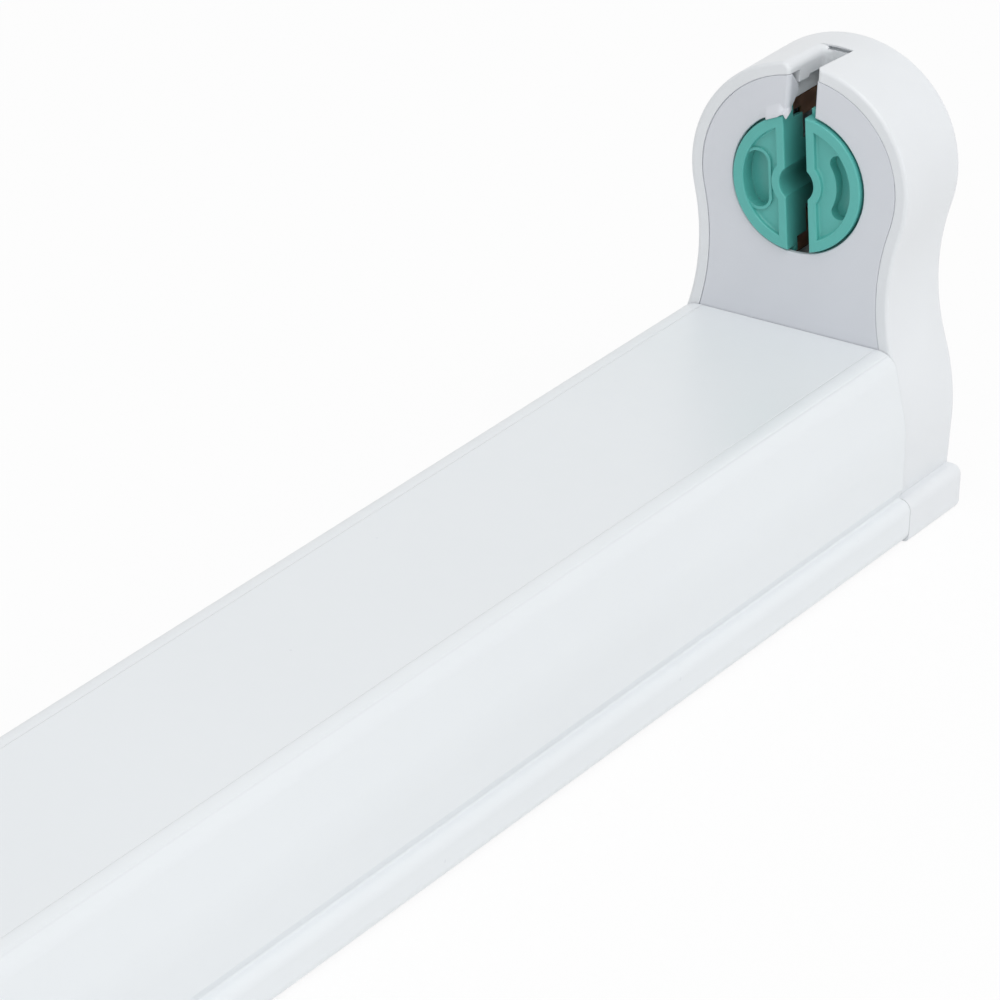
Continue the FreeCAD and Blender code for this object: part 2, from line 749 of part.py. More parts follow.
def add_inner_ribs(cap):
    """The rib between the contact strips, the posts outside them and the rotor's bearing."""
    rib_end = "cavity_depth + back_wall / 2"
    rib = cap.sketch("rib_outline", "XY", "floor_thickness / 2")
    rectangle(rib, "rib_start", "-rib_half", rib_end, "rib_half")
    cap.pad("rib", rib, "axis_height - rib_top_drop - floor_thickness / 2")
    posts = cap.sketch("posts_outline", "XY", "post_bottom")
    for hand in (1, -1):
        low, high = ("post_inner", "post_inner + post_thickness")
        if hand < 0:
            low, high = (negative(high), negative(low))
        rectangle(posts, "strip_start", low, rib_end, high)
    cap.pad("posts", posts, "axis_height - post_top_drop - post_bottom")
    bearing = cap.sketch("bearing_outline", "YZ", "cavity_depth - bearing_length")
    circle(bearing, "0", "rotor_height", "journal_radius + running_gap")
    circle(bearing, "0", "rotor_height", "journal_radius + running_gap + bearing_wall")
    cap.pad("bearing", bearing, "bearing_length + back_wall / 2")


def make_face_plate(side):
    plate = Piece(sided("face_plate", side))
    edge = plate.sketch("plate_outline", "YZ")
    outline(edge, plate_profile("plate_inset", "plate_bottom + seam_gap"))
    plate.pad("plate", edge, "plate_thickness")
    hole = plate.sketch("rotor_hole_outline", "YZ")
    circle(hole, "0", "rotor_height", "rotor_hole_radius")
    plate.pocket("rotor_hole", hole, "plate_thickness + overrun", Midplane=True,
                 Type="ThroughAll")
    plate.ease("Chamfer", "collar_flare",
               in_plane_x("plate_thickness", lambda box: box.ZMin > value("plate_bottom + overrun")
                          and box.YLength < value("rotor_hole_radius * 2 + overrun")),
               "plate_thickness - plate_skin")
    plate.ease("Fillet", "plate_edges", in_plane_x("0"), "plate_edge_radius")
    entry = plate.sketch("entry_outline", "XY", "axis_height")
    outline(entry, [("-overrun", "-entry_right_lip"),
                    ("entry_right_depth - entry_right_radius", "-entry_right_lip",
                     "entry_right_radius", -1),
                    ("entry_right_depth", "-entry_right_half"),
                    ("plate_thickness + overrun", "-entry_right_half"),
                    ("plate_thickness + overrun", "entry_left_half"),
                    ("entry_left_depth", "entry_left_half", "entry_left_radius", -1),
                    ("entry_left_depth - entry_left_radius", "entry_left_lip"),
                    ("-overrun", "entry_left_lip")])
    plate.pocket("entry", entry, "head_radius", Reversed=True)
    seat_at_end(plate.body, side)


# Rotor, drawn about its own axis with its face towards -X

def make_rotor(side):
    rotor = Piece(sided("rotor", side))
    stack = rotor.sketch("rotor_stack", "XY")
    front = "-disc_proud"
    outline(stack, [(front, "0"), ("journal_end", "0"), ("journal_end", "journal_radius"),
                    ("hub_back", "journal_radius"), ("hub_back", "hub_radius"),
                    ("drum_back", "hub_radius"), ("drum_back", "drum_radius"),
                    ("collar_back", "drum_radius"), ("collar_back", "rotor_collar_radius"),
                    ("collar_front", "rotor_collar_radius"), ("collar_front", "disc_radius"),
                    (front, "disc_radius")])
    turned = rotor.body.newObject("PartDesign::Revolution", "rotor_turned")
    turned.Profile = stack
    turned.ReferenceAxis = (stack, ["H_Axis"])
    turned.Angle = 360
    doc.recompute()
    recesses = rotor.sketch("recess_outline", "YZ", front)
    for hand in (1, -1):
        inner = mirrored("recess_inner", hand)
        outline(recesses, [(inner, "recess_top", "recess_outer", -hand), (inner, "-recess_top"),
                           (inner, "-recess_notch", "boss_radius", hand),
                           (inner, "recess_notch")])
    rotor.pocket("recesses", recesses, "recess_depth", Reversed=True)
    rotor.ease("Fillet", "recess_corners", in_plane_x("recess_depth - disc_proud"),
               "recess_corner_radius")
    add_kidney(rotor)
    cut_banana(rotor)
    slit = rotor.sketch("pin_slot_outline", "YZ", front)
    rectangle(slit, "-rotor_slot_width / 2", "-(rotor_collar_radius + overrun)",
              "rotor_slot_width / 2", "rotor_collar_radius + overrun")
    rotor.pocket("pin_slot", slit, "rotor_slot_depth", Reversed=True)
    centre = rotor.sketch("centre_outline", "YZ", front)
    circle(centre, "0", "0", "centre_hole_radius")
    rotor.pocket("centre_hole", centre, "centre_hole_depth", Reversed=True)
    rotor.ease("Fillet", "face_edges", in_plane_x(front), "rotor_edge_radius")
    tilt = value("right_rotor_tilt" if side > 0 else "left_rotor_tilt")
    turn = FreeCAD.Rotation(FreeCAD.Vector(1, 0, 0), tilt)
    if side < 0:
        turn = FreeCAD.Rotation(FreeCAD.Vector(0, 0, 1), 180) * turn
    rotor.body.Placement.Rotation = turn
    bind(rotor.body, {"Placement.Base.x": "half_gap" if side > 0 else "-half_gap",
                      "Placement.Base.z": "rotor_height"})


def kidney_profile(grow):
    """A pocket with one straight side, rounded corners and an outer side round the axis."""
    corner = "(kidney_corner_radius + %s)" % grow
    outer = "(recess_outer + %s)" % grow
    inner = "kidney_inner - %s" % grow
    up = "kidney_half_height + %s" % grow
    up_in = "(kidney_half_height - kidney_corner_radius)"
    inner_in = "kidney_inner + kidney_corner_radius"
    across_in = "sqrt((recess_outer - kidney_corner_radius)^2 - %s^2)" % up_in
    share = "%s / (recess_outer - kidney_corner_radius)" % outer
    meet = ("%s * %s" % (across_in, share), "%s * %s" % (up_in, share))
    return [(inner_in, negative(up)), (across_in, negative(up), corner, 1),
            (meet[0], negative(meet[1]), outer, 1), (meet[0], meet[1], corner, 1),
            (across_in, up), (inner_in, up, corner, 1), (inner, up_in),
            (inner, negative(up_in), corner, 1)]


def add_kidney(rotor):
    """The deep pocket against the outer rim on one half, with a low ridge round it."""
    ridge = rotor.sketch("ridge_outline", "YZ", "recess_depth - disc_proud")
    outline(ridge, kidney_profile("ridge_width"))
    rotor.pad("ridge", ridge, "ridge_height", Reversed=True)
    kidney = rotor.sketch("kidney_outline", "YZ", "-disc_proud")
    outline(kidney, kidney_profile("0"))
    rotor.pocket("kidney", kidney, "pocket_depth", Reversed=True)


def cut_banana(rotor):
    """The curved deep pocket on the other half, bent round the centre boss."""
    banana = rotor.sketch("banana_outline", "YZ", "-disc_proud")
    across = "-%s * cos(banana_half_angle)"
    up = "%s * sin(banana_half_angle)"
    end_radius = "(recess_outer - banana_inner) / 2"
    end_centre = across % "(recess_outer + banana_inner) / 2"
    outline(banana, [(across % "recess_outer", up % "recess_outer", "recess_outer", 1),
                     (across % "recess_outer", "-" + up % "recess_outer", end_radius, 1,
                      end_centre),
                     (across % "banana_inner", "-" + up % "banana_inner", "banana_inner", -1),
                     (across % "banana_inner", up % "banana_inner", end_radius, 1, end_centre)])
    rotor.pocket("banana", banana, "pocket_depth", Reversed=True)


# Bronze contact strip: a curved leaf beside the rotor's hub, a tail and a crimped barrel

def make_contact(side, hand):
    """One strip; hand is +1 for the strip on the +Y side of its own end cap's frame."""
    place = "back" if hand * side > 0 else "front"
    contact = Piece("%s_%s" % (sided("contact", side), place))
    leaf_outer = "leaf_radius + strip_thickness / 2"
    leaf_inner = "leaf_radius - strip_thickness / 2"
    fold_near = "fold_radius - strip_thickness / 2"
    fold_far = "fold_radius + strip_thickness / 2"
    across = "(%s) * cos(leaf_half_angle)"
    above = "rotor_height + (%s) * sin(leaf_half_angle)"
    below = "rotor_height - (%s) * sin(leaf_half_angle)"
    lead_near = across % leaf_inner
    lead_far = lead_near + " + strip_thickness"
    corners = [
        (lead_near, "rotor_height + lead_height"),
        (lead_far, "rotor_height + lead_height"),
        (lead_far, "rotor_height + sqrt((%s)^2 - (%s)^2)" % (leaf_outer, lead_far), leaf_outer,
         -hand),
        (across % leaf_outer, below % leaf_outer, fold_near, hand),
        ("fold_across - (%s)" % fold_near, "fold_level"),
        ("tail_middle + strip_thickness / 2", "tail_end"),
        ("tail_middle - strip_thickness / 2", "tail_end"),
        ("fold_across - (%s)" % fold_far, "fold_level", fold_far, -hand),
        (across % leaf_inner, below % leaf_inner, leaf_inner, hand),
        (lead_near, above % leaf_inner),
    ]
    strip = contact.sketch("strip_outline", "YZ", "strip_start")
    outline(strip, [(mirrored(corner[0], hand),) + corner[1:] for corner in corners])
    contact.pad("strip", strip, "strip_width")
    flare = contact.sketch("flare_outline", "YZ", "strip_start - flare_width")
    sides = [mirrored(lead_near, hand), mirrored(lead_far, hand)]
    rectangle(flare, sides[hand < 0], "rotor_height + drum_radius + axial_gap", sides[hand > 0],
              "rotor_height + lead_height")
    contact.pad("flare", flare, "flare_width + strip_width")
    barrel = contact.sketch("barrel_outline", "YZ", "barrel_start")
    middle = mirrored("barrel_across", hand)
    circle(barrel, middle, "wire_height", "barrel_radius")
    circle(barrel, middle, "wire_height", "wire_bore_radius")
    contact.pad("barrel", barrel, "barrel_length")
    seat_at_end(contact.body, side)


# Plain pieces made of primitives

ALONG_X = FreeCAD.Rotation(FreeCAD.Vector(0, 1, 0), 90)


def primitive(kind, name, place, sizes, turn=None):
    """A primitive at a place given by three formulas."""
    shape = doc.addObject("Part::" + kind, name)
    if turn:
        shape.Placement.Rotation = turn
    bind(shape, sizes)
    bind(shape, dict(zip(("Placement.Base.x", "Placement.Base.y", "Placement.Base.z"), place)))
    return shape


def block(name, low, size):
    return primitive("Box", name, low, dict(zip(("Length", "Width", "Height"), size)))


def rod(name, radius, place, length, turn=None):
    return primitive("Cylinder", name, place, {"Radius": radius, "Height": length}, turn)


def combined(kind, name, shapes):
    """A named fuse, cut or group of shapes; a cut takes all the others from the first."""
    if kind == "Cut":
        result = doc.addObject("Part::Cut", name)
        result.Base = shapes[0]
        result.Tool = shapes[1] if len(shapes) == 2 else combined("MultiFuse", name + "_cutters",
                                                                  shapes[1:])
    else:
        result = doc.addObject("Part::" + kind, name)
        if kind == "Compound":
            result.Links = shapes
        else:
            result.Shapes = shapes
    result.Label = name
    return result


def make_cap_screws():
    screws = []
    for side in (1, -1):
        name = sided("cap_screw", side)
        across = mirrored("half_gap - screw_inset", side)
        head = primitive("Cone", name + "_head", (across, "0", "head_sink"),
                         {"Radius1": "cap_screw_head_radius", "Radius2": "screw_radius",
                          "Height": "cap_screw_head_radius - screw_radius"})
        shank = rod(name + "_shank", "screw_radius", (across, "0", "head_sink"),
                    "cap_screw_length")
        socket = block(name + "_driver_slot",
                       ("%s - cap_screw_head_radius" % across, "-driver_slot_width / 2", "0"),
                       ("2 * cap_screw_head_radius", "driver_slot_width",
                        "head_sink + driver_slot_depth"))
        whole = combined("MultiFuse", name + "_whole", [head, shank])
        screws.append(combined("Cut", name, [whole, socket]))
    combined("Compound", "cap_screws", screws)


def pole_places():
    return [("live", "-pole_pitch"), ("earth", "0"), ("neutral", "pole_pitch")]


def make_terminal_block():
    left = "block_place - block_length / 2"
    body = block("block_body", (left, "-block_width / 2", "base_thickness"),
                 ("block_length", "block_width", "block_height"))
    cutters = []
    for pole, across in pole_places():
        cutters.append(block(pole + "_tunnel",
                             (left + " - overrun", "%s - clamp_width / 2 - clamp_gap" % across,
                              "wire_height - clamp_height / 2 - clamp_gap"),
                             ("block_length + 2 * overrun", "clamp_width + 2 * clamp_gap",
                              "clamp_height + 2 * clamp_gap")))
        for index, way in enumerate((1, -1)):
            place = "block_place + %d * clamp_screw_spacing / 2" % way
            cutters.append(rod("%s_access_%d" % (pole, index + 1),
                               "clamp_screw_head_radius + screw_access_gap",
                               (place, across, "wire_height"), "block_height"))
    cutters.append(rod("block_screw_hole", "pilot_radius",
                       ("block_place", "pole_pitch / 2", "0"), "block_height + overrun"))
    combined("Cut", "terminal_block", [body] + cutters)


def make_terminal_clamps():
    clamps = []
    for pole, across in pole_places():
        left = "block_place - clamp_length / 2"
        body = block(pole + "_clamp_body",
                     (left, "%s - clamp_width / 2" % across, "wire_height - clamp_height / 2"),
                     ("clamp_length", "clamp_width", "clamp_height"))
        holes = [rod(pole + "_clamp_bore", "wire_bore_radius",
                     (left + " - overrun", across, "wire_height"), "clamp_length + 2 * overrun",
                     ALONG_X)]
        for index, way in enumerate((1, -1)):
            place = "block_place + %d * clamp_screw_spacing / 2" % way
            holes.append(rod("%s_clamp_thread_%d" % (pole, index + 1), "pilot_radius",
                             (place, across, "wire_height"), "clamp_height"))
        clamps.append(combined("Cut", pole + "_clamp", [body] + holes))
    combined("Compound", "terminal_clamps", clamps)


def slotted_screw(name, across, along, tip, seat, head_radius, head_height):
    """A cheese-head screw that points down, from its tip to its head's seat and top."""
    shank = rod(name + "_shank", "screw_radius", (along, across, tip),
                "%s - (%s)" % (seat, tip))
    head = rod(name + "_head", head_radius, (along, across, seat), head_height)
    notch = block(name + "_driver_slot",
                  ("%s - %s" % (along, head_radius), "%s - driver_slot_width / 2" % across,
                   "%s + %s - driver_slot_depth" % (seat, head_height)),
                  ("2 * %s" % head_radius, "driver_slot_width", "driver_slot_depth + overrun"))
    whole = combined("MultiFuse", name + "_whole", [shank, head])
    return combined("Cut", name, [whole, notch])


def make_terminal_screws():
    screws = []
    for pole, across in pole_places():
        for index, way in enumerate((1, -1)):
            place = "block_place + %d * clamp_screw_spacing / 2" % way
            screws.append(slotted_screw("%s_screw_%d" % (pole, index + 1), across, place,
                                        "wire_height + wire_bore_radius", "clamp_screw_seat",
                                        "clamp_screw_head_radius", "clamp_screw_head_height"))
    combined("Compound", "terminal_screws", screws)


def make_block_screw():
    slotted_screw("block_screw", "pole_pitch / 2", "block_place", "head_sink",
                  "base_thickness + block_height", "block_screw_head_radius",
                  "block_screw_head_height")


def rounded_path(points, share):
    """Straight runs joined by arcs whose radius is a share of the shorter run beside them."""
    edges = []
    start = points[0]
    for before, corner, after in zip(points, points[1:], points[2:]):
        back = before - corner
        ahead = after - corner
        turn = math.pi - back.getAngle(ahead)
        setback = share * min(back.Length, ahead.Length)
        enter = corner + back.normalize() * setback
        leave = corner + ahead.normalize() * setback
        inward = (back + ahead).normalize()
        radius = setback / math.tan(turn / 2)
        middle = corner + inward * (radius / math.cos(turn / 2) - radius)
        edges.append(Part.LineSegment(start, enter).toShape())
        edges.append(Part.Arc(enter, middle, leave).toShape())
        start = leave
    edges.append(Part.LineSegment(start, points[-1]).toShape())
    return Part.Wire(edges)


def make_wire(name, route):
    """A wire through places given by three formulas each, bent as gently as its runs allow."""
    points = [FreeCAD.Vector(*[value(part) for part in place]) for place in route]
    path = rounded_path(points, value("bend_share"))
    section = Part.makeCircle(value("wire_radius"), points[0], points[1] - points[0])
    wire = doc.addObject("Part::Feature", name)
    wire.Shape = path.makePipeShell([Part.Wire([section])], True, True)
    wire.Placement = FreeCAD.Placement()
    wire.Label = name


def make_wires():
    start = "block_place"
    bend = "block_place + wire_lead"
    straight = "block_place + wire_lead + wire_sidestep"
    end = "half_gap + barrel_start + barrel_length"
    for name, side in (("live_wire", -1), ("neutral_wire", 1)):
        pole = mirrored("pole_pitch", side)
        holder = mirrored("barrel_across", side)
        make_wire(name, [(start, pole, "wire_height"), (bend, pole, "wire_height"),
                         (straight, holder, "wire_height"), (end, holder, "wire_height")])
    lead_end = "block_place + earth_lead"
    make_wire("earth_wire", [(start, "0", "wire_height"), (lead_end, "0", "wire_height"),
                             (lead_end + " + earth_drop", "0", "earth_wire_level"),
                             ("tag_start - fit_gap", "0", "earth_wire_level")])


# Earth connection on the base plate

def make_earth_stud():
    collar = rod("stud_collar", "collar_radius", ("stud_place", "0", "base_thickness"),
                 "collar_height")
    shank = rod("stud_shank", "stud_radius", ("stud_place", "0", "base_thickness"),
                "stud_height")
    combined("MultiFuse", "earth_stud", [collar, shank])


def make_earth_tag():
    flat = block("tag_flat", ("tag_start", "-tag_half_width", "tag_bottom"),
                 ("stud_place + tag_half_width - (tag_start)", "2 * tag_half_width",
                  "tag_thickness"))
    barrel = rod("tag_barrel", "barrel_radius",
                 ("barrel_end - barrel_length", "0", "earth_wire_level"), "barrel_length",
                 ALONG_X)
    hole = rod("tag_hole", "stud_radius + fit_gap", ("stud_place", "0", "base_thickness"),
               "stud_height")
    bore = rod("tag_bore", "wire_bore_radius",
               ("barrel_end - barrel_length - overrun", "0", "earth_wire_level"),
               "overrun + barrel_length - tag_thickness", ALONG_X)
    whole = combined("MultiFuse", "tag_whole", [flat, barrel])
    combined("Cut", "earth_tag", [whole, hole, bore])


def make_earth_nut():
    nut = primitive("Prism", "nut_body", ("stud_place", "0", "tag_bottom + tag_thickness"),
                    {"Polygon": "nut_sides", "Height": "nut_height",
                     "Circumradius": "nut_half_width / cos(180 / nut_sides)"})
    hole = rod("nut_hole", "stud_radius + fit_gap", ("stud_place", "0", "base_thickness"),
               "stud_height")
    combined("Cut", "earth_nut", [nut, hole])


def make_cable_bush():
    flange = rod("bush_flange", "bush_flange_radius",
                 ("cable_entry_place", "0", "base_thickness"), "bush_flange_height")
    neck = rod("bush_neck", "cable_hole_radius - bush_gap",
               ("cable_entry_place", "0", "head_sink"), "base_thickness")
    bore = rod("bush_bore", "bush_bore_radius", ("cable_entry_place", "0", "0"),
               "base_thickness + bush_flange_height + overrun")
    whole = combined("MultiFuse", "bush_whole", [flange, neck])
    combined("Cut", "cable_bush", [whole, bore])


def make_wire_saddle():
    left = "saddle_place - saddle_length / 2"
    body = block("saddle_body", (left, "-saddle_half_width", "base_thickness"),
                 ("saddle_length", "2 * saddle_half_width", "saddle_height"))
    holes = [rod(sided("saddle_hole", side), "wire_bore_radius",
                 (left + " - overrun", mirrored("barrel_across", side), "wire_height"),
                 "saddle_length + 2 * overrun", ALONG_X) for side in (1, -1)]
    combined("Cut", "wire_saddle", [body] + holes)


NODES = ["channel_cover", "base_plate", "end_cap_right", "end_cap_left", "face_plate_right",
         "face_plate_left", "rotor_right", "rotor_left", "contact_right_front",
         "contact_right_back", "contact_left_front", "contact_left_back", "cap_screws",
         "terminal_block", "terminal_clamps", "terminal_screws", "block_screw", "live_wire",
         "neutral_wire", "earth_wire", "earth_stud", "earth_tag", "earth_nut", "cable_bush",
         "wire_saddle"]


def build():
    make_channel_cover()
    make_base_plate()
    for side in (1, -1):
        make_end_cap(side)
        make_face_plate(side)
        make_rotor(side)
        for hand in (1, -1):
            make_contact(side, hand)
    make_cap_screws()
    make_terminal_block()
    make_terminal_clamps()
    make_terminal_screws()
    make_block_screw()
    make_wires()
    make_earth_stud()
    make_earth_tag()
    make_earth_nut()
    make_cable_bush()
    make_wire_saddle()
    doc.recompute()


def check_and_export():
    for thing in doc.Objects:
        if "Invalid" in thing.State or "Error" in thing.State:
            raise ValueError("%s did not compute: %s" % (thing.Label, thing.State))
    pieces = {}
    for name in NODES:
        shape = doc.getObjectsByLabel(name)[0].Shape
        if shape.isNull() or not shape.isValid():
            raise ValueError("%s has no valid shape" % name)
        pieces[name] = shape
    os.makedirs("parts", exist_ok=True)
    for name, shape in pieces.items():
        shape.exportStep("parts/%s.step" % name)
        print("%-22s %3d solids %12.2f mm3" % (name, len(shape.Solids), shape.Volume))


fill_sheet()
build()
check_and_export()
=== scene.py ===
import json
import math

import bmesh
import bpy
from mathutils import Matrix, Vector


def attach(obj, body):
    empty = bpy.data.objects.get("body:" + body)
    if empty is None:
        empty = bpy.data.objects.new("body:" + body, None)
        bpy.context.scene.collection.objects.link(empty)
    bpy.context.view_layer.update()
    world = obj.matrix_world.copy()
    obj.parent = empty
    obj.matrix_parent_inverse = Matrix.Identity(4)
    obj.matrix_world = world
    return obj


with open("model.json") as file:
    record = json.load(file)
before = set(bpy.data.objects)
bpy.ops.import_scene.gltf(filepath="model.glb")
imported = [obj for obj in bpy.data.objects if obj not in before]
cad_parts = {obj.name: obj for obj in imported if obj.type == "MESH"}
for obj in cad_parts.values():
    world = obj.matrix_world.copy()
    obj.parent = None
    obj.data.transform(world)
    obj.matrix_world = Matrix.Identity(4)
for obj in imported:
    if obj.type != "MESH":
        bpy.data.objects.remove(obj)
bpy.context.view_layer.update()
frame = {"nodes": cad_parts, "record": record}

MM = 0.001
# The plate's front and the rotor's face as distances from the middle of the fixture
PLATE_FRONT = 295.5 * MM
ROTOR_FACE = 295.0 * MM
ROTOR_AXIS = Vector((0.0, 0.0, 43.15)) * MM
WHITE = (1.0, 1.0, 1.0, 1.0)


def linear(*levels):
    """A colour given in the 0 to 255 levels of a picture, as the shader's own linear values."""
    def one(level):
        share = level / 255
        return share / 12.92 if share <= 0.04045 else ((share + 0.055) / 1.055) ** 2.4
    return tuple(one(level) for level in levels) + (1.0,)


# Materials

class Mix:
    """A node material with short calls for the few nodes that the surfaces here need."""

    def __init__(self, name):
        self.material = bpy.data.materials.new(name)
        self.material.use_nodes = True
        self.tree = self.material.node_tree
        self.tree.nodes.clear()
        self.shader = self.node("ShaderNodeBsdfPrincipled")
        out = self.node("ShaderNodeOutputMaterial")
        self.link(self.shader.outputs["BSDF"], out.inputs["Surface"])
        place = self.node("ShaderNodeTexCoord")
        self.place = place.outputs["Object"]

    def node(self, kind, **settings):
        made = self.tree.nodes.new(kind)
        for key, content in settings.items():
            setattr(made, key, content)
        return made

    def link(self, start, end):
        self.tree.links.new(start, end)

    def plain(self, **sockets):
        for key, content in sockets.items():
            self.shader.inputs[key.replace("_", " ")].default_value = content

    def stretched(self, scale):
        mapping = self.node("ShaderNodeMapping")
        mapping.inputs["Scale"].default_value = scale
        self.link(self.place, mapping.inputs["Vector"])
        return mapping.outputs["Vector"]

    def along(self, axis):
        """The object's own coordinate along one axis, in metres."""
        split = self.node("ShaderNodeSeparateXYZ")
        self.link(self.place, split.inputs["Vector"])
        return split.outputs[axis]

    def compute(self, operation, *contents):
        """A Math node; each input is a socket to link or a plain number."""
        made = self.node("ShaderNodeMath", operation=operation)
        for socket, content in zip(made.inputs, contents):
            self.fill(socket, content)
        return made.outputs["Value"]

    def fill(self, socket, content):
        if hasattr(content, "is_linked"):
            self.link(content, socket)
        else:
            socket.default_value = content

    def noise(self, size_mm, detail=3.0, roughness=0.5, place=None, distortion=0.0):
        made = self.node("ShaderNodeTexNoise")
        made.inputs["Scale"].default_value = 1.0 / (size_mm * MM)
        made.inputs["Detail"].default_value = detail
        made.inputs["Roughness"].default_value = roughness
        made.inputs["Distortion"].default_value = distortion
        self.link(place or self.place, made.inputs["Vector"])
        return made.outputs["Fac"]

    def cells(self, size_mm):
        made = self.node("ShaderNodeTexVoronoi")
        made.inputs["Scale"].default_value = 1.0 / (size_mm * MM)
        self.link(self.place, made.inputs["Vector"])
        return made.outputs["Distance"]

    def spread(self, source, low, high, to_low, to_high):
        """Takes the range low to high smoothly to the range to_low to to_high."""
        made = self.node("ShaderNodeMapRange", interpolation_type="SMOOTHSTEP")
        made.inputs["From Min"].default_value = low
        made.inputs["From Max"].default_value = high
        made.inputs["To Min"].default_value = to_low
        made.inputs["To Max"].default_value = to_high
        self.link(source, made.inputs["Value"])
        return made.outputs["Result"]

    def ramp(self, source, *stops):
        """Colours by (position, colour) stops."""
        made = self.node("ShaderNodeValToRGB")
        made.color_ramp.interpolation = "EASE"
        elements = made.color_ramp.elements
        while len(elements) < len(stops):
            elements.new(0.5)
        for element, (place, colour) in zip(elements, stops):
            element.position = place
            element.color = colour
        self.link(source, made.inputs["Fac"])
        return made.outputs["Color"]

    def blend(self, share, first, second, kind="MIX"):
        made = self.node("ShaderNodeMix", data_type="RGBA", blend_type=kind)
        # The Mix node repeats its sockets for each data type: 6, 7 and output 2 are the colours
        for index, content in ((0, share), (6, first), (7, second)):
            self.fill(made.inputs[index], content)
        return made.outputs[2]

    def painted_recess_shade(self, start_mm, end_mm, end_shade):
        """Painted shade: 1 near the rotor's face, falling to a darker tone where its recesses end.
        """
        off_middle = self.compute("ABSOLUTE", self.along("X"))
        return self.spread(off_middle, ROTOR_FACE + start_mm * MM, ROTOR_FACE + end_mm * MM,
                           1.0, end_shade)

    def colour(self, source):
        self.link(source, self.shader.inputs["Base Color"])

    def rough(self, source):
        self.link(source, self.shader.inputs["Roughness"])

    def bumps(self, *layers, edge_mm=0.0):
        """Chains bump layers, each (source, height in mm, strength), over softened edges."""
        normal = None
        if edge_mm:
            soft = self.node("ShaderNodeBevel", samples=6)
            soft.inputs["Radius"].default_value = edge_mm * MM
            normal = soft.outputs["Normal"]
        for source, height_mm, strength in layers:
            made = self.node("ShaderNodeBump")
            made.inputs["Distance"].default_value = height_mm * MM
            made.inputs["Strength"].default_value = strength
            self.link(source, made.inputs["Height"])
            if normal:
                self.link(normal, made.inputs["Normal"])
            normal = made.outputs["Normal"]
        self.link(normal, self.shader.inputs["Normal"])


def shade(colour, factor):
    """The colour made darker, or lighter with a factor over 1."""
    return tuple(channel * factor for channel in colour[:3]) + (1.0,)


PAINT_FLECK = (0.73, 0.76, 0.79, 1.0)
# Distance from the middle of the top, and half width, of each mark that the folding tool left
PRESS_MARKS_MM = ((12.1, 0.16), (13.9, 0.22))


def painted_steel():
    """Powder coat: a faint cloud, sparse flecks, orange peel, grain and the press marks."""
    paint = Mix("white powder coat on steel")
    body = linear(229, 233, 236)
    cloud = paint.noise(90, detail=2)
    tone = paint.ramp(cloud, (0.2, shade(body, 0.985)), (0.8, shade(body, 1.012)))
    fleck = paint.spread(paint.cells(9.0), 0.022, 0.03, 1.0, 0.0)
    paint.colour(paint.blend(fleck, tone, PAINT_FLECK))
    peel = paint.noise(2.6, detail=2, roughness=0.45)
    grain = paint.noise(0.35, detail=2)
    paint.rough(paint.spread(peel, 0.2, 0.8, 0.32, 0.42))
    paint.bumps((peel, 0.010, 0.25), (grain, 0.002, 0.2), (fleck, 0.008, 0.4),
                (press_marks(paint), 0.05, 1.0), edge_mm=0.12)
    paint.plain(IOR=1.5, Coat_Weight=0.15, Coat_Roughness=0.22)
    return paint.material


def press_marks(paint):
    """Shallow grooves along both bends of the top: 0 in a groove and 1 beside it."""
    off_middle = paint.compute("ABSOLUTE", paint.along("Y"))
    total = 1.0
    for place, half in PRESS_MARKS_MM:
        away = paint.compute("ABSOLUTE", paint.compute("SUBTRACT", off_middle, place * MM))
        groove = paint.spread(away, 0.0, half * MM, 0.0, 1.0)
        total = paint.compute("MULTIPLY", groove, total)
    return total


def zinc_steel():
    """Zinc plating: faint crystal patches over the grain of the rolled sheet."""
    zinc = Mix("zinc plated sheet")
    crystals = zinc.cells(6.0)
    long_grain = zinc.noise(0.5, detail=4, place=zinc.stretched((0.04, 1.0, 1.0)))
    tone = zinc.ramp(long_grain, (0.3, (0.50, 0.51, 0.52, 1.0)), (0.7, (0.64, 0.65, 0.66, 1.0)))
    patch = zinc.ramp(crystals, (0.0, (0.90, 0.91, 0.92, 1.0)), (0.7, WHITE))
    zinc.colour(zinc.blend(1.0, tone, patch, "MULTIPLY"))
    zinc.rough(zinc.spread(long_grain, 0.3, 0.7, 0.34, 0.5))
    zinc.bumps((long_grain, 0.01, 0.4), edge_mm=0.1)
    zinc.plain(Metallic=0.9)
    return zinc.material


def moulded(name, body, rough_low, rough_high, edge_mm, texture_mm=0.5, bloom=0.02, painted_shade_depths=None):
    """An injection moulded plastic.

    bloom is the share by which its tone varies. The last argument, where given, paints shade into
    the rotor's recesses:
    it holds the two depths in mm behind the rotor's face between which the tone darkens, and the
    tone at the second.
    """
    plastic = Mix(name)
    cloud = plastic.noise(14, detail=2, distortion=0.3)
    tone = plastic.ramp(cloud, (0.15, shade(body, 1 - bloom)), (0.85, shade(body, 1 + bloom)))
    # Painted shade: the tone darkens with depth behind the rotor's face, standing in for the shade
    # in its recesses
    if painted_shade_depths:
        tone = plastic.blend(1.0, tone, plastic.painted_recess_shade(*painted_shade_depths), "MULTIPLY")
    plastic.colour(tone)
    fine = plastic.noise(texture_mm, detail=1, roughness=0.4)
    swirl = plastic.noise(9.0, detail=1)
    plastic.rough(plastic.spread(swirl, 0.1, 0.9, rough_low, rough_high))
    plastic.bumps((fine, 0.002, 0.15), edge_mm=edge_mm)
    plastic.plain(IOR=1.5)
    return plastic.material


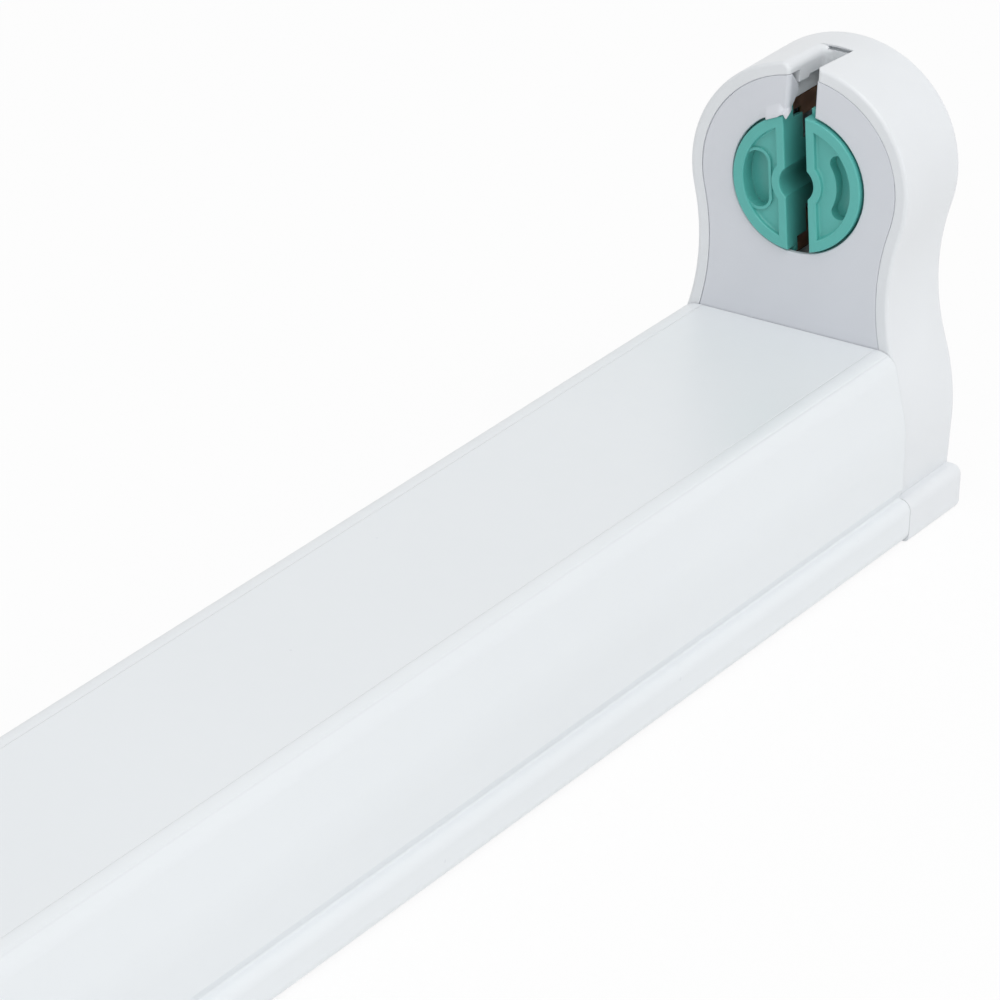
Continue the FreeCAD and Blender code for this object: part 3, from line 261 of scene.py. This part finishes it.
def metal(name, dark, light, rough_low, rough_high):
    """A small metal part, with a fine grain drawn out along its height."""
    made = Mix(name)
    grain = made.noise(0.25, detail=4, place=made.stretched((1.0, 1.0, 0.1)))
    cloud = made.noise(3.0, detail=3, distortion=0.8)
    tone = made.ramp(cloud, (0.25, dark), (0.75, light))
    streak = made.ramp(grain, (0.2, (0.88, 0.88, 0.88, 1.0)), (0.8, WHITE))
    made.colour(made.blend(1.0, tone, streak, "MULTIPLY"))
    made.rough(made.spread(grain, 0.3, 0.7, rough_low, rough_high))
    made.bumps((grain, 0.006, 0.4), edge_mm=0.06)
    made.plain(Metallic=1.0)
    return made.material


def insulation(name, body, stripe=None):
    """A wire's insulation; the stripe's colour covers the half of the wire on the +Y side."""
    wire = Mix(name)
    cloud = wire.noise(4.0, detail=3)
    tone = wire.ramp(cloud, (0.2, shade(body, 0.92)), (0.8, shade(body, 1.06)))
    if stripe:
        half = wire.compute("GREATER_THAN", wire.along("Y"), 0.0)
        tone = wire.blend(half, tone, stripe)
    wire.colour(tone)
    fine = wire.noise(0.3, detail=2)
    wire.rough(wire.spread(fine, 0.3, 0.7, 0.38, 0.5))
    wire.bumps((fine, 0.004, 0.3), edge_mm=0.05)
    return wire.material


# Every range of roughness stays above 0.28: ranges that reached below it left a faint ring in the
# denoised render, where the noise that drives the roughness was lowest
MATERIALS = {
    "channel_paint": painted_steel(),
    "zinc_steel": zinc_steel(),
    "cap_plastic": moulded("white end cap moulding", linear(228, 231, 234), 0.29, 0.36, 0.12),
    "plate_plastic": moulded("pale grey face plate moulding", linear(215, 218, 224), 0.36,
                             0.46, 0.08),
    # The rotor's recesses get painted shade, darkening from 1.2 mm behind its face to 0.38 of its
    # tone at 8 mm
    "rotor_plastic": moulded("blue-green rotor moulding", (0.103, 0.455, 0.415, 1.0), 0.29,
                             0.37, 0.14, texture_mm=0.4, bloom=0.03, painted_shade_depths=(1.2, 8.0, 0.38)),
    "bronze": metal("bronze strip", (0.34, 0.17, 0.10, 1.0), (0.50, 0.28, 0.17, 1.0), 0.3, 0.45),
    "screw_steel": metal("zinc plated screw", (0.52, 0.53, 0.55, 1.0), (0.68, 0.69, 0.70, 1.0),
                         0.3, 0.42),
    "clamp_brass": metal("turned brass", (0.62, 0.45, 0.20, 1.0), (0.78, 0.60, 0.32, 1.0), 0.3,
                         0.42),
    "tinned_brass": metal("tinned strip", (0.58, 0.58, 0.54, 1.0), (0.72, 0.71, 0.67, 1.0), 0.3,
                          0.42),
    "block_plastic": moulded("natural polyamide", (0.78, 0.75, 0.66, 1.0), 0.36, 0.5, 0.12),
    "brown_wire": insulation("brown insulation", (0.17, 0.07, 0.035, 1.0)),
    "blue_wire": insulation("blue insulation", (0.04, 0.14, 0.42, 1.0)),
    "earth_wire": insulation("green and yellow insulation", (0.06, 0.30, 0.07, 1.0),
                             (0.72, 0.62, 0.05, 1.0)),
    "bush_rubber": moulded("soft black rubber", (0.030, 0.030, 0.032, 1.0), 0.55, 0.7, 0.15,
                           bloom=0.1),
}

SLOT_OF = {entry["node"]: entry["material_slot"] for entry in frame["record"]["subparts"]}

for name, thing in frame["nodes"].items():
    thing.data.materials.clear()
    thing.data.materials.append(MATERIALS[SLOT_OF[name]])


# Pieces that the plain solids leave out, drawn for the right end and turned round for the left

BEVEL_SEGMENTS = 2
BEVEL_FROM = math.radians(40)


def at_end(name, bm, side, slot, bevel_mm=0.0):
    """Makes one mesh piece of the fixture; the left one is the right one turned half round."""
    if side < 0:
        bmesh.ops.rotate(bm, verts=bm.verts, matrix=Matrix.Rotation(math.pi, 3, "Z"))
    bmesh.ops.recalc_face_normals(bm, faces=bm.faces)
    data = bpy.data.meshes.new(name)
    bm.to_mesh(data)
    bm.free()
    for polygon in data.polygons:
        polygon.use_smooth = True
    thing = bpy.data.objects.new("%s_%s" % (name, "right" if side > 0 else "left"), data)
    bpy.context.scene.collection.objects.link(thing)
    if bevel_mm:
        rounded = thing.modifiers.new("rounded edges", "BEVEL")
        rounded.width = bevel_mm * MM
        rounded.segments = BEVEL_SEGMENTS
        rounded.limit_method = "ANGLE"
        rounded.angle_limit = BEVEL_FROM
    data.materials.append(MATERIALS[slot])
    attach(thing, "fixture")


def join_rings(bm, rings):
    """Joins a row of vertex rings into one closed skin with flat ends."""
    count = len(rings[0])
    for first, second in zip(rings, rings[1:]):
        for index in range(count):
            after = (index + 1) % count
            bm.faces.new((first[index], first[after], second[after], second[index]))
    bm.faces.new(rings[0])
    bm.faces.new(list(reversed(rings[-1])))


# Lower edge of the plate's tab, from its outer end to its tip beside the slot: across, radius from
# the rotor's axis, and how far the edge stands in front of the plate
TAB_EDGE_MM = ((5.90, 9.06, 0.0), (5.30, 9.06, 0.22), (4.74, 9.04, 0.56), (4.58, 8.72, 0.66),
               (3.80, 8.68, 0.70), (3.05, 8.70, 0.72), (2.65, 8.86, 0.72), (2.25, 8.92, 0.72),
               (1.98, 8.50, 0.72), (1.82, 8.36, 0.72))
# Radii from the rotor's axis: the tab keeps its full height up to the first, so that it stays in
# front of the turning rotor; where its lower edge lies within the second, its back stands off the
# rotor; from the third on it is sunk into the plate; at the last its front has met the plate's face
TAB_FREE_MM = 8.84
TAB_LAPS_MM = 9.0
TAB_ROOT_MM = 9.2
TAB_TOP_MM = 10.4
# Depths against the plate's front: of the tab's back over the rotor, of its root in the plate, and
# of its front where that has met the face
TAB_CLEAR_MM = 0.56
TAB_BURIED_MM = 0.35
TAB_SUNK_MM = 0.03
# Half width of the slot between the tab's upper edges, and the sideways growth above the tip
TAB_INNER_MM = 2.06
TAB_TIP_MM = {"across": 1.82, "flare": 0.3, "fade": 0.3}
# Shares of the tab's height in which its edge leans back and its front meets the face, the latter
# beside the slot and, beyond the place given, further out
TAB_LEAN = 0.35
TAB_MEET = {"by_slot": 0.45, "outside": 1.0, "from_mm": 2.4, "over_mm": 0.8}
# Least shares of the height at which the back's two lower points lie, and at which the tip flares
TAB_SHELF = 0.02
TAB_ROOT = 0.05
TAB_FLARE = 0.01
TAB_BEVEL_MM = 0.04
TAB_ROWS = 12
TAB_COLUMNS = 4
# The plate's face rounds off into the slot: half width of the slot, radius of the rounding, and
# the angle at which it leaves the face
ENTRY_LIP_MM = {"half": 2.0, "radius": 0.75, "angle": math.radians(20)}


def smooth(share):
    """0 to 1 with a soft start and end."""
    share = min(max(share, 0.0), 1.0)
    return share * share * (3 - 2 * share)


def finer(points, parts):
    """The points with each run between them divided into equal parts."""
    result = []
    for first, second in zip(points, points[1:]):
        result += [tuple(a + (b - a) * step / parts for a, b in zip(first, second))
                   for step in range(parts)]
    return result + [points[-1]]


def plate_face(across):
    """How far the plate's face lies in front of its plane, which is less than 0 by the slot."""
    radius = ENTRY_LIP_MM["radius"]
    away = ENTRY_LIP_MM["half"] + radius - across
    if away < radius * math.sin(ENTRY_LIP_MM["angle"]):
        return 0.0
    return math.sqrt(radius ** 2 - away ** 2) - radius * math.cos(ENTRY_LIP_MM["angle"])


def tab_section(across, radius, proud):
    """One section of the tab: up its rounded front, then down inside the plate.

    Each point is (distance in front of the plate, across, up from the rotor's axis), and at()
    takes the share of the section's height.
    """
    inner = max(across, TAB_INNER_MM)
    outside = smooth((across - TAB_MEET["from_mm"]) / TAB_MEET["over_mm"])
    meeting = TAB_MEET["by_slot"] + (TAB_MEET["outside"] - TAB_MEET["by_slot"]) * outside
    span = TAB_TOP_MM - radius
    held = max((TAB_FREE_MM - radius) / span, 0.0)
    flare = TAB_TIP_MM["flare"] * (1 - smooth((across - TAB_TIP_MM["across"])
                                              / TAB_TIP_MM["fade"]))

    def at(rise, depth=None):
        lean = smooth((rise - held) / TAB_LEAN)
        side = across - flare * min(rise / max(held, TAB_FLARE), 1.0)
        side += (inner - side) * lean
        distance = radius + span * rise
        if depth is None:
            met = smooth((rise - held) / ((1 - held) * meeting))
            depth = proud * (1 - met) + (plate_face(inner) - TAB_SUNK_MM) * met
        return depth, side, math.sqrt(distance ** 2 - side ** 2)

    front = [at(row / TAB_ROWS) for row in range(TAB_ROWS + 1)]
    shelf = max(held, TAB_SHELF)
    root = max((TAB_ROOT_MM - radius) / span, TAB_ROOT)
    buried = plate_face(inner) - TAB_BURIED_MM
    low = TAB_CLEAR_MM if radius < TAB_LAPS_MM else buried
    return front + [at(1.0, buried), at(root, buried), at(shelf, low), at(0.0, low)]


def plate_tab(side):
    """The lip of the plate beside the slot that laps over the rotor's rim."""
    bm = bmesh.new()
    rows = [[bm.verts.new((PLATE_FRONT - proud * MM, across * MM, ROTOR_AXIS.z + up * MM))
             for proud, across, up in tab_section(*corner)]
            for corner in finer(TAB_EDGE_MM, TAB_COLUMNS)]
    join_rings(bm, rows)
    at_end("plate_tab", bm, side, "plate_plastic", TAB_BEVEL_MM)


# The seam between plate and cap is filled to just under the surface by the plate's moulded skirt.
# Edges of the plate inside the slot's span across, or within the hole's radius, aren't the seam
SEAM_MM = {"radius": 0.09, "below": 0.15, "outward": 0.14, "slot": (-2.1, 2.6), "hole": 9.4}
SEAM_SIDES = 8
# The plate's front is found by its normal and its place, within these
FRONT_NORMAL = -0.99
FRONT_DEPTH_MM = 0.01


def seam_chain():
    """The outer edge of the right plate's front, as one open chain of points."""
    mesh = frame["nodes"]["face_plate_right"].data
    front = [polygon for polygon in mesh.polygons
             if polygon.normal.x < FRONT_NORMAL
             and polygon.center.x < PLATE_FRONT + FRONT_DEPTH_MM * MM]
    uses = {}
    for polygon in front:
        for edge in polygon.edge_keys:
            uses[edge] = uses.get(edge, 0) + 1
    places = [vertex.co for vertex in mesh.vertices]

    def outside(index):
        away = places[index] - ROTOR_AXIS
        low, high = SEAM_MM["slot"]
        in_slot = away.z > 0 and low * MM < away.y < high * MM
        return Vector((away.y, away.z)).length > SEAM_MM["hole"] * MM and not in_slot

    neighbours = {}
    for (first, second), count in uses.items():
        if count == 1 and outside(first) and outside(second):
            neighbours.setdefault(first, []).append(second)
            neighbours.setdefault(second, []).append(first)
    ends = [index for index, near in neighbours.items() if len(near) == 1]
    chain = [min(ends, key=lambda index: places[index].y)]
    while True:
        following = [index for index in neighbours[chain[-1]] if index not in chain[-2:]]
        if not following:
            return [places[index] for index in chain]
        chain.append(following[0])


def seam_skirt(side, chain):
    """A thin round bead along the bottom of the seam."""
    bm = bmesh.new()
    rings = []
    for index, place in enumerate(chain):
        before = chain[max(index - 1, 0)]
        after = chain[min(index + 1, len(chain) - 1)]
        along = Vector((0.0, after.y - before.y, after.z - before.z)).normalized()
        outward = Vector((0.0, along.z, -along.y))
        if outward.dot(place - ROTOR_AXIS) < 0:
            outward = -outward
        centre = place + outward * SEAM_MM["outward"] * MM
        centre.x = PLATE_FRONT + (SEAM_MM["below"] + SEAM_MM["radius"]) * MM
        ring = []
        for step in range(SEAM_SIDES):
            angle = 2 * math.pi * step / SEAM_SIDES
            offset = outward * math.cos(angle) + Vector((1.0, 0.0, 0.0)) * math.sin(angle)
            ring.append(bm.verts.new(centre + offset * SEAM_MM["radius"] * MM))
        rings.append(ring)
    join_rings(bm, rings)
    at_end("seam_skirt", bm, side, "plate_plastic")


seam = seam_chain()
for side in (1, -1):
    plate_tab(side)
    seam_skirt(side, seam)


# Camera, worked out from the round head, the rotor and the long edges of the channel. The head's
# centre lies at HEAD_PX in the picture, so the camera looks past it, without any shift

AZIMUTH = math.radians(-60.574)
ELEVATION = math.radians(23.896)
ROLL = math.radians(2.713)
FOCAL_PX = 6529.4
DISTANCE = 0.7965
HEAD_CENTRE = Vector((0.2955, 0.0, 0.0436))
HEAD_PX = (797.9, 180.0)
FRAME_PX = 1000.0
SENSOR = 36.0
CLIP = (0.01, 50.0)

back = Vector((math.sin(AZIMUTH) * math.cos(ELEVATION), -math.cos(AZIMUTH) * math.cos(ELEVATION),
               math.sin(ELEVATION)))
level_right = Vector((math.cos(AZIMUTH), math.sin(AZIMUTH), 0.0))
level_up = back.cross(level_right)
right = level_right * math.cos(ROLL) + level_up * math.sin(ROLL)
up = level_up * math.cos(ROLL) - level_right * math.sin(ROLL)
off_right = (HEAD_PX[0] - FRAME_PX / 2) / FOCAL_PX * DISTANCE
off_up = (FRAME_PX / 2 - HEAD_PX[1]) / FOCAL_PX * DISTANCE

camera_data = bpy.data.cameras.new("camera")
camera = bpy.data.objects.new("camera", camera_data)
camera_data.sensor_width = SENSOR
camera_data.lens = FOCAL_PX / FRAME_PX * SENSOR
camera_data.clip_start, camera_data.clip_end = CLIP
pose = Matrix((right, up, back)).transposed().to_4x4()
pose.translation = HEAD_CENTRE + back * DISTANCE - right * off_right - up * off_up
camera.matrix_world = pose
bpy.context.scene.collection.objects.link(camera)
bpy.context.scene.camera = camera


# Floor, world and lamps

FLOOR_COLOUR = (0.93, 0.93, 0.93, 1.0)
# The floor's share of plain white in the picture; the rest takes the light and the shadow
FLOOR_GLOW = 0.87
FLOOR_REACH = 3.0
# How far the floor lies below the fixture's back
FLOOR_DROP = 0.0001
WORLD_LIGHT = 0.655


def any_direct_ray(tree):
    """1 for the rays that show the background itself: camera, glossy and transmission."""
    path_node = tree.nodes.new("ShaderNodeLightPath")
    total = path_node.outputs["Is Camera Ray"]
    for kind in ("Is Glossy Ray", "Is Transmission Ray"):
        either = tree.nodes.new("ShaderNodeMath")
        either.operation = "MAXIMUM"
        tree.links.new(total, either.inputs[0])
        tree.links.new(path_node.outputs[kind], either.inputs[1])
        total = either.outputs[0]
    return total


def pale_floor():
    """A matt floor, most of which is replaced by plain white for the rays that see it."""
    material = bpy.data.materials.new("pale floor")
    material.use_nodes = True
    tree = material.node_tree
    tree.nodes.clear()
    out = tree.nodes.new("ShaderNodeOutputMaterial")
    matt = tree.nodes.new("ShaderNodeBsdfDiffuse")
    matt.inputs["Color"].default_value = FLOOR_COLOUR
    glow = tree.nodes.new("ShaderNodeEmission")
    glow.inputs["Color"].default_value = WHITE
    glow.inputs["Strength"].default_value = 1.0
    share = tree.nodes.new("ShaderNodeMath")
    share.operation = "MULTIPLY"
    share.inputs[1].default_value = FLOOR_GLOW
    mix = tree.nodes.new("ShaderNodeMixShader")
    tree.links.new(any_direct_ray(tree), share.inputs[0])
    tree.links.new(share.outputs[0], mix.inputs["Fac"])
    tree.links.new(matt.outputs["BSDF"], mix.inputs[1])
    tree.links.new(glow.outputs["Emission"], mix.inputs[2])
    tree.links.new(mix.outputs["Shader"], out.inputs["Surface"])
    return material


floor_mesh = bpy.data.meshes.new("floor")
floor_mesh.from_pydata([(-FLOOR_REACH, -FLOOR_REACH, 0.0), (FLOOR_REACH, -FLOOR_REACH, 0.0),
                        (FLOOR_REACH, FLOOR_REACH, 0.0), (-FLOOR_REACH, FLOOR_REACH, 0.0)],
                       [], [(0, 1, 2, 3)])
floor = bpy.data.objects.new("floor", floor_mesh)
floor.location.z = -FLOOR_DROP
floor_mesh.materials.append(pale_floor())
bpy.context.scene.collection.objects.link(floor)

world = bpy.data.worlds.new("studio")
bpy.context.scene.world = world
world.use_nodes = True
sky = world.node_tree
sky.nodes.clear()
sky_out = sky.nodes.new("ShaderNodeOutputWorld")
sky_mix = sky.nodes.new("ShaderNodeMixShader")
sky.links.new(any_direct_ray(sky), sky_mix.inputs["Fac"])
# The light that falls on the object, and the plain white that the direct rays see
for index, strength in ((1, WORLD_LIGHT), (2, 1.0)):
    background = sky.nodes.new("ShaderNodeBackground")
    background.inputs["Color"].default_value = WHITE
    background.inputs["Strength"].default_value = strength
    sky.links.new(background.outputs["Background"], sky_mix.inputs[index])
sky.links.new(sky_mix.outputs["Shader"], sky_out.inputs["Surface"])

LAMP_WIDTH = 1.2
# Name, place, point that the lamp faces, and power in watts
LAMPS = (("key", (-0.2, -0.9, 1.9), (0.1, 0.0, 0.03), 14.8),
         ("side", (0.3, -1.9, 0.7), (0.1, 0.0, 0.03), 2.9),
         ("fill", (-1.7, -0.5, 0.9), (0.25, 0.0, 0.03), 2.4))

for name, place, target, power in LAMPS:
    data = bpy.data.lights.new(name, "AREA")
    data.shape = "SQUARE"
    data.size = LAMP_WIDTH
    data.energy = power
    thing = bpy.data.objects.new(name, data)
    thing.location = place
    aim = Vector(target) - Vector(place)
    thing.rotation_mode = "QUATERNION"
    thing.rotation_quaternion = aim.to_track_quat("-Z", "Y")
    bpy.context.scene.collection.objects.link(thing)

bpy.context.scene.view_settings.view_transform = "Standard"
